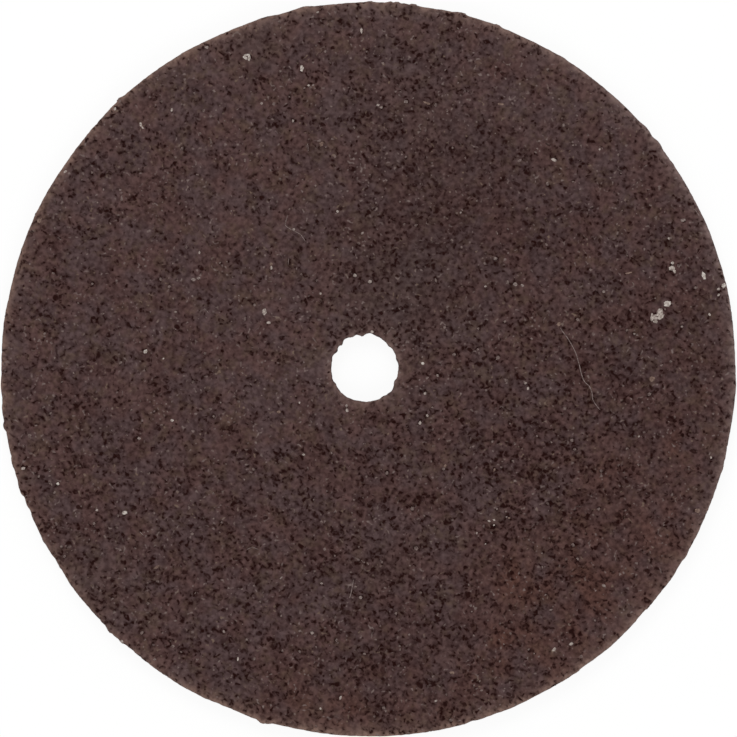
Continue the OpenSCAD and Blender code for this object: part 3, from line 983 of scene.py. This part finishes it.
def feed(tree, shader, colour, rough, height, depth):
    """Joins a colour, a roughness and a bump of the given depth to the shader."""
    tree.links.new(colour, shader.inputs["Base Color"])
    tree.links.new(rough, shader.inputs["Roughness"])
    bump = add(tree, "ShaderNodeBump", {"Height": height, "Strength": BUMP_STRENGTH, "Distance": depth})
    tree.links.new(bump.outputs[0], shader.inputs["Normal"])
    shader.inputs["Specular IOR Level"].default_value = SPECULAR


def feed_grit(tree, shader, group, inputs, depth):
    """Places the bonded grit in a material with its own inputs, and joins what it gives to the shader."""
    grit = add(tree, "ShaderNodeGroup", inputs, node_tree=group)
    feed(tree, shader, *(grit.outputs[name] for name, _ in GRIT_OUTPUTS), depth)


def attribute(tree, name, output="Fac"):
    """One of the mesh's own attributes."""
    return add(tree, "ShaderNodeAttribute", attribute_name=name).outputs[output]


def wheel_material(group):
    """Bonded grit on the wheel's own pressed places, paler towards the rim and the bore."""
    material, tree, shader = fresh_material("pressed bonded grit")
    gap = attribute(tree, "edge_gap")
    edge = maths(tree, "MULTIPLY", maths(tree, "POWER", EDGE_FADE, gap), attribute(tree, "edge_share"))
    edge = maths(tree, "MULTIPLY_ADD", maths(tree, "POWER", WIDE_FADE, gap), WIDE_SHARE, edge)
    inputs = {
        "Place": attribute(tree, "pressed_place", "Vector"), "Openness": attribute(tree, "openness"),
        "Edge": edge, "Brown": attribute(tree, "edge_brown"),
        "Rust": attribute(tree, "rust"), "Shade": attribute(tree, "shade"),
    }
    feed_grit(tree, shader, group, inputs, WHEEL_BUMP)
    return material


def grain_material(group):
    """The same grit on the loose-standing grains, where they stand."""
    material, tree, shader = fresh_material("standing grit")
    place = add(tree, "ShaderNodeTexCoord").outputs["Object"]
    feed_grit(tree, shader, group, {"Place": place, **STANDING_GRIT}, GRAIN_BUMP)
    return material


def chip_material(name, pale, shaded, rough):
    """Mineral chip: a pale tone mottled at a fine scale with a painted shaded tone, with a finer bump."""
    material, tree, shader = fresh_material(name)
    place = add(tree, "ShaderNodeTexCoord").outputs["Object"]
    mottle = cells(tree, place, *CHIP_NOISE)
    colour = blend(tree, rise(tree, mottle, CHIP_SPAN), shaded, pale)
    roughness = rise(tree, mottle, CHIP_ROUGH_SPAN, (rough, rough - CHIP_GLOSS))
    feed(tree, shader, colour, roughness, mottle, CHIP_BUMP)
    return material


# White paper: noise between two tones, roughness, and brightness and share of its glow to the camera
PAPER_NOISE = (2 * MM, 51, 2)
PAPER_TONES = (srgb(246, 246, 246), srgb(250, 250, 250))
PAPER_ROUGHNESS = 0.9
PAPER_GLOW = 1.03
PAPER_GLOW_SHARE = 0.88


def floor_material():
    """White paper that stays white to the camera and keeps a soft shadow of the wheel."""
    material, tree, shader = fresh_material("white paper floor")
    tone = cells(tree, add(tree, "ShaderNodeTexCoord").outputs["Object"], *PAPER_NOISE)
    tree.links.new(blend(tree, tone, *PAPER_TONES), shader.inputs["Base Color"])
    shader.inputs["Roughness"].default_value = PAPER_ROUGHNESS
    glow = add(tree, "ShaderNodeEmission", {"Strength": PAPER_GLOW})
    path = add(tree, "ShaderNodeLightPath").outputs
    seen = maths(tree, "MAXIMUM", path["Is Camera Ray"], path["Is Glossy Ray"])
    seen = maths(tree, "MAXIMUM", seen, path["Is Transmission Ray"])
    mixed = add(tree, "ShaderNodeMixShader", {0: maths(tree, "MULTIPLY", seen, PAPER_GLOW_SHARE)})
    tree.links.new(shader.outputs[0], mixed.inputs[1])
    tree.links.new(glow.outputs[0], mixed.inputs[2])
    output = next(n for n in tree.nodes if n.bl_idname == "ShaderNodeOutputMaterial")
    tree.links.new(mixed.outputs[0], output.inputs["Surface"])
    return material


# Half width of the floor, and how far it lies under the wheel
FLOOR_HALF = 0.6
FLOOR_DROP = 0.01 * MM
# Light: an even pale room and two soft lamps, from the top and the bottom of the picture: name, place,
# width, watts
ROOM_LIGHT = 0.5
LAMPS = [
    ("key lamp", (-0.03, 0.1, 0.13), 0.09, 0.08),
    ("fill lamp", (0.03, -0.11, 0.12), 0.1, 0.055),
]


def light_the_room():
    """World that lights evenly and looks white to the camera, and area lamps that face the wheel."""
    world = bpy.data.worlds.new("pale room")
    bpy.context.scene.world = world
    world.use_nodes = True
    tree = world.node_tree
    tree.nodes.clear()
    path = add(tree, "ShaderNodeLightPath").outputs
    seen = maths(tree, "MAXIMUM", path["Is Camera Ray"], path["Is Transmission Ray"])
    strength = maths(tree, "MULTIPLY_ADD", seen, 1.0 - ROOM_LIGHT, ROOM_LIGHT)
    room = add(tree, "ShaderNodeBackground", {"Color": (1.0, 1.0, 1.0, 1.0), "Strength": strength})
    add(tree, "ShaderNodeOutputWorld", {"Surface": room.outputs[0]})
    for name, place, size, power in LAMPS:
        lamp = bpy.data.lights.new(name, "AREA")
        lamp.shape = "DISK"
        lamp.size = size
        lamp.energy = power
        holder = bpy.data.objects.new(name, lamp)
        holder.location = place
        away = np.array(place) / np.linalg.norm(place)
        holder.rotation_euler = (math.acos(away[2]), 0, math.atan2(away[1], away[0]) + math.pi / 2)
        bpy.context.scene.collection.objects.link(holder)


# Height of the camera above the upper face, and width of its sensor in mm
CAMERA_HEIGHT = 0.3
SENSOR = 36.0


def look_down():
    """Camera straight above the wheel, framed so that the rim falls where it does in the picture."""
    data = bpy.data.cameras.new("camera")
    data.sensor_width = SENSOR
    data.lens = SENSOR * CAMERA_HEIGHT / (PICTURE * PIXEL)
    camera = bpy.data.objects.new("camera", data)
    middle = from_picture((PICTURE - 1) / 2, (PICTURE - 1) / 2)
    camera.location = (middle[0], middle[1], THICK + CAMERA_HEIGHT)
    bpy.context.scene.collection.objects.link(camera)
    bpy.context.scene.camera = camera


def lay_floor():
    """Large flat sheet just under the wheel."""
    corners = np.array([(-1, -1), (1, -1), (1, 1), (-1, 1)]) * FLOOR_HALF
    mesh = bpy.data.meshes.new("floor")
    mesh.from_pydata([(x, y, -FLOOR_DROP) for x, y in corners], [], [(0, 1, 2, 3)])
    mesh.materials.append(floor_material())
    floor = bpy.data.objects.new("floor", mesh)
    bpy.context.scene.collection.objects.link(floor)


def build_wheel(group):
    """The pressed wheel in place of its plain solid, with its looks kept on the mesh."""
    place, faces, looks, corners = wheel_mesh()
    wheel = new_piece("pressed_wheel", place, faces, wheel_material(group), True)
    for name, values in looks.items():
        kind, key = ("FLOAT_VECTOR", "vector") if values.ndim == 2 else ("FLOAT", "value")
        layer = wheel.data.attributes.new(name, kind, "POINT")
        layer.data.foreach_set(key, values.ravel().astype(np.float32))
    layer = wheel.data.uv_layers.new(name="OFBake")
    layer.data.foreach_set("uv", corners.ravel().astype(np.float32))
    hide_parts(WHEEL)


# Looks of the minerals and the lint: pale tone, shaded tone and roughness
# the bared grains' pale tone partly stands in for painted glints
BARED_GRAIN_AND_GLINT_LOOK = (srgb(127, 110, 105), srgb(90, 73, 70), 0.7)
LINT_LOOK = (srgb(142, 125, 121), srgb(106, 89, 86), 0.8)
CHIP_KINDS = [
    ("white", WHITE_CHIPS, (srgb(212, 203, 195), srgb(160, 147, 139), 0.75)),
    ("cracked_and_shaded", CRACKED_AND_SHADED_CHIPS, (srgb(196, 184, 175), srgb(132, 117, 110), 0.75)),
    ("dull", DULL_CHIPS, (srgb(182, 169, 161), srgb(142, 128, 122), 0.75)),
    ("faint", FAINT_CHIPS, (srgb(150, 135, 129), srgb(114, 99, 95), 0.75)),
    ("tan", TAN_CHIPS, (srgb(138, 115, 104), srgb(107, 86, 77), 0.75)),
]


def build_grit(group):
    """Grains standing out of the rim and bore, bared grains on the faces, pale and tan chips, and lint."""
    rng = np.random.default_rng(GRIT_SEED)
    new_piece("edge_grit", *edge_grains(rng), grain_material(group), False)
    place, faces = tumbled_grains(*face_grain_places(rng), rng)
    place[:, 2] = np.clip(place[:, 2], -PRESSED_PROUD, THICK + PRESSED_PROUD)
    new_piece("bared_grains_and_glints", place, faces, chip_material("bared grain and glint", *BARED_GRAIN_AND_GLINT_LOOK), False)
    for kind, chips, look in CHIP_KINDS:
        middles, sizes, headings = chip_places(chips)
        place, faces = tumbled_grains(middles, sizes, rng, headings)
        new_piece(kind + "_chips", place, faces, chip_material(kind + " mineral", *look), False)
    new_piece("lint", *lint_tubes(), chip_material("lint fibre", *LINT_LOOK), True)


grit_group = bonded_grit()
build_wheel(grit_group)
build_grit(grit_group)
lay_floor()
light_the_room()
look_down()
bpy.context.scene.view_settings.view_transform = "Standard"
